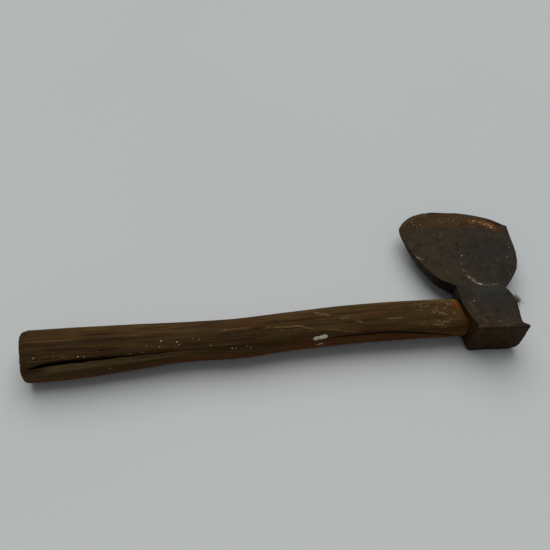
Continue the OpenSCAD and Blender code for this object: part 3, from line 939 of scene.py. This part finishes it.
def make_packing():
    """A strip of sacking wrapped round the tenon, crushed in the eye and frayed at the eye's far end."""
    count, rows = 180, 60
    lo, hi = 351.2, 381.6
    theta = np.linspace(0, 2 * math.pi, count, endpoint=False)
    squeeze = lambda w, h: np.column_stack([
        w / 2 * np.sign(np.cos(theta)) * np.abs(np.cos(theta)) ** (2 / SQUARENESS),
        h / 2 * np.sign(np.sin(theta)) * np.abs(np.sin(theta)) ** (2 / SQUARENESS)])
    outer, inner = squeeze(29.8, 22.8), squeeze(28.45, 21.45)
    ragged = np.sin(theta * 37) * 0.25 + np.sin(theta * 11 + 1) * 0.35
    rings = []
    for wall, xs in ((outer, np.linspace(lo, hi, rows)), (inner, np.linspace(hi, lo, rows))):
        for x in xs:
            reach = (x - lo) / (hi - lo)
            weave = 0.05 * np.sin(theta * 90) * np.sin(x * 4.1) + 0.06 * np.sin(theta * 7 + x * 0.3)
            ring = wall * (1 + (weave / 14)[:, None] * (1 if wall is outer else -0.4))
            rings.append(np.column_stack([x + ragged * (reach - 0.5), ring[:, 0] - 0.5, ring[:, 1] + 17]))
    points = np.concatenate(rings)
    total = 2 * rows
    faces = []
    for i in range(total):
        for k in range(count):
            a, b = i * count + k, i * count + (k + 1) % count
            c, d = ((i + 1) % total) * count + (k + 1) % count, ((i + 1) % total) * count + k
            faces.append((a, b, c, d))
    cloth = from_points("packing_cloth", points, faces)
    finish_mesh(cloth, 60)
    threads = make_threads()
    t = Tree("packing_cloth")
    around = t.noise(6, 3, 0.6, 0.4)
    warp = t.span(t.noise(1, 2, 0.5, at=t.stretch(5, 0.45, 0.45)), 0.35, 0.65)
    weft = t.span(t.noise(1, 2, 0.5, at=t.stretch(0.45, 4, 4)), 0.35, 0.65)
    weave = t.calc("MULTIPLY", t.calc("ADD", warp, weft), 0.5)
    skin = t.ramp(weave, (0.2, rgb(92, 82, 66)), (0.5, rgb(132, 122, 102)), (0.85, rgb(168, 160, 140)))
    skin = t.paint(t.span(around, 0.48, 0.66, 0, 0.7), skin, rgb(74, 58, 40))
    t.use(Base_Color=skin, Roughness=t.span(weave, 0, 1, 0.82, 0.95), Specular_IOR_Level=0.15,
          Sheen_Weight=0.25, Normal=t.bump(weave, 0.2, 0.8))
    for piece in (cloth, threads):
        wear(piece, t.mat)
        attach(piece, "root")
        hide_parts("eye_packing")


def make_threads():
    """Frayed threads that stand out of the eye's far end, thickest at its far top corner."""
    points, faces = [], []
    count, at_corner, sides, n = 130, 80, 6, 22
    for i in range(count):
        corner = i < at_corner
        angle = math.radians(rng.normal(70, 8) if corner else rng.uniform(0, 360))
        c, s = math.cos(angle), math.sin(angle)
        r = ((abs(c) / 14.5) ** SQUARENESS + (abs(s) / 11.05) ** SQUARENESS) ** (-1 / SQUARENESS)
        start = np.array([380.6, r * c - 0.5, r * s + 17])
        heading = np.array([1.0, 0.06 * c, 0.28 * s]) + rng.normal(0, 0.12, 3)
        length = rng.uniform(6.5, 11.5) if corner else rng.uniform(2.8, 4.8)
        bend = 1 / rng.uniform(1.2, 3)
        axis = rng.normal(0, 1, 3)
        axis /= np.linalg.norm(axis)
        radius = rng.uniform(0.14, 0.25) if corner else rng.uniform(0.08, 0.13)
        line, at = [start], start
        for k in range(n):
            if (at - start)[0] > 4.6:
                heading = heading + np.cross(axis, heading) * bend * length / n + rng.normal(0, 0.05, 3)
            heading /= np.linalg.norm(heading)
            at = at + heading * length / n
            if corner and at[0] < 385.4 and k > 10:
                at = np.array([385.4 + 0.3 * rng.uniform(), at[1], at[2]])
            line.append(at)
        line = np.array(line)
        line[:, 2] = np.clip(line[:, 2], 5, 33.8)
        base = len(points)
        side = np.array([0.3, 0.5, 0.8])
        for k, q in enumerate(line):
            along = line[min(k + 1, n)] - line[max(k - 1, 0)]
            along /= np.linalg.norm(along)
            a = np.cross(along, side)
            a /= np.linalg.norm(a)
            b = np.cross(along, a)
            thick = radius * (1 - 0.55 * k / n)
            for m in range(sides):
                turn = 2 * math.pi * m / sides
                points.append(q + thick * (a * math.cos(turn) + b * math.sin(turn)))
        for k in range(n):
            for m in range(sides):
                p, q = base + k * sides + m, base + k * sides + (m + 1) % sides
                faces.append((p, q, q + sides, p + sides))
        faces.append(tuple(base + m for m in reversed(range(sides))))
        faces.append(tuple(base + n * sides + m for m in range(sides)))
    threads = from_points("packing_threads", points, faces)
    threads.data.shade_smooth()
    return threads


# -------------------- flecks of paint and lime

HANDLE_FLECKS = [
    # x, y, z, radius
    (97, -8, 27, 0.36), (108, -5, 27, 0.55), (107, -10, 27, 0.4), (119, -10, 26, 0.26),
    (120, -7, 27, 0.5), (121.5, -9, 26, 0.4), (137, -6, 26, 0.36), (145, -12, 26, 0.3), (157, 0, 27, 0.3),
    (161, -15, 24, 0.5), (164, -13.5, 23, 0.36), (168, -14, 23, 0.26), (172, -14, 24, 0.33),
    (175, -15, 23, 0.36), (47, -12, 27, 0.52), (51.5, -13, 27, 0.4), (85, -13.5, 26, 0.4),
    (94, -13, 26, 0.3), (69, -20, 18, 0.42), (32, -22, 13, 0.36), (31, -19, 24, 0.3), (14.5, -11, 28, 0.5),
    (24, -10.6, 28, 0.26), (29, -11, 28, 0.3), (36, -11.4, 27, 0.3), (61, -9, 27, 0.22),
    (132, -5, 27, 0.24), (199, -4, 27, 0.25), (286, 6, 28, 0.25)]
HEAD_FLECKS = [
    # u, v, radius
    (-6, 57, 0.7), (2, 56, 0.33), (-9, 48, 0.4), (-15, 3, 0.55), (38, 63, 0.42), (38.5, 67, 0.36),
    (32, 52, 0.5), (22, 49, 0.3), (-38, 101, 0.4), (-37, 98, 0.55), (-35, 96, 0.4), (-31, 97.6, 0.5),
    (-44, 60, 0.6), (-42.5, 58.3, 0.7), (-40.5, 56.6, 0.5), (38, 59.5, 0.34), (-27, 69, 0.3), (6, 54, 0.3),
    (-1, -17, 0.35), (-26, 66, 0.25)]


def flecks(name, hosts, rays, node, material):
    """Thin crusts of old paint or lime, each half sunk in the surface that its ray meets."""
    ball = bmesh.new()
    bmesh.ops.create_icosphere(ball, subdivisions=2, radius=1)
    shape = np.array([v.co[:] for v in ball.verts])
    around = [tuple(v.index for v in f.verts) for f in ball.faces]
    ball.free()
    points, faces = [], []
    for start, aim, size in rays:
        start, aim = Vector(place(start)), Vector(place(aim))
        way = (aim - start).normalized()
        hits = [hit for hit in (host.ray_cast(start, way) for host in hosts) if hit[0]]
        if not hits:
            continue
        _, spot, normal, _ = min(hits, key=lambda hit: (hit[1] - start).length)
        spot = (np.array(spot) - ORIGIN) / MM
        normal = np.array(normal)
        side = np.cross(normal, rng.normal(0, 1, 3))
        side /= np.linalg.norm(side)
        other = np.cross(normal, side)
        lumps = 1 + 0.9 * noise(shape + rng.uniform(0, 50), 0.9)
        wide, long_ = size * rng.uniform(0.7, 1.0), size * rng.uniform(1.0, 1.5)
        q = shape * lumps[:, None]
        base = len(points)
        points += list(spot + q[:, :1] * side * long_ + q[:, 1:2] * other * wide + q[:, 2:] * normal * 0.13)
        faces += [tuple(base + i for i in f) for f in around]
    obj = from_points(name, points, faces)
    set_points(obj, inside(points_of(obj), ["head", "steel_bit", "handle"], 0.01))
    wear(obj, material)
    obj.data.shade_smooth()
    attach(obj, "root")
    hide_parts(node)


def crust(name, low, high):
    t = Tree(name)
    mix = t.noise(0.7, 4, 0.65, 0.4)
    skin = t.ramp(mix, (0.3, low), (0.65, high))
    return t.use(Base_Color=skin, Roughness=t.span(mix, 0.3, 0.7, 0.75, 0.95), Specular_IOR_Level=0.1,
                 Normal=t.bump(mix, 0.1, 0.8))


# -------------------- the whole

make_floor()
make_light()
head, bit = make_head()
handle = make_handle()
make_wedge("wooden_wedge", "wedge_of_wood", 0.3, 0.12, wedge_wood())
make_wedge("steel_wedge", "wedge_of_steel", 0.22, 0.1, wedge_steel())
for driven in ("wooden_wedge", "steel_wedge"):
    cutter = copy_of(driven, "cutter")
    boolean(handle, cutter, "DIFFERENCE")
    drop(cutter)
wear(handle, wood("handle_wood"))
finish_mesh(handle, 50)
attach(handle, "root")
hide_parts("handle")
make_packing()
rays = [((x, 2 * y, 2 * z - 16), (x, 0, 16), size) for x, y, z, size in HANDLE_FLECKS]
flecks("paint_flecks", [handle], rays, "handle",
       crust("old_paint", rgb(128, 112, 84), rgb(196, 186, 164)))
rays = [((EYE[0] + u, v, 60), (EYE[0] + u, v, 0), size) for u, v, size in HEAD_FLECKS]
flecks("lime_flecks", [head, bit], rays, "head",
       crust("old_lime", rgb(104, 94, 74), rgb(178, 170, 148)))
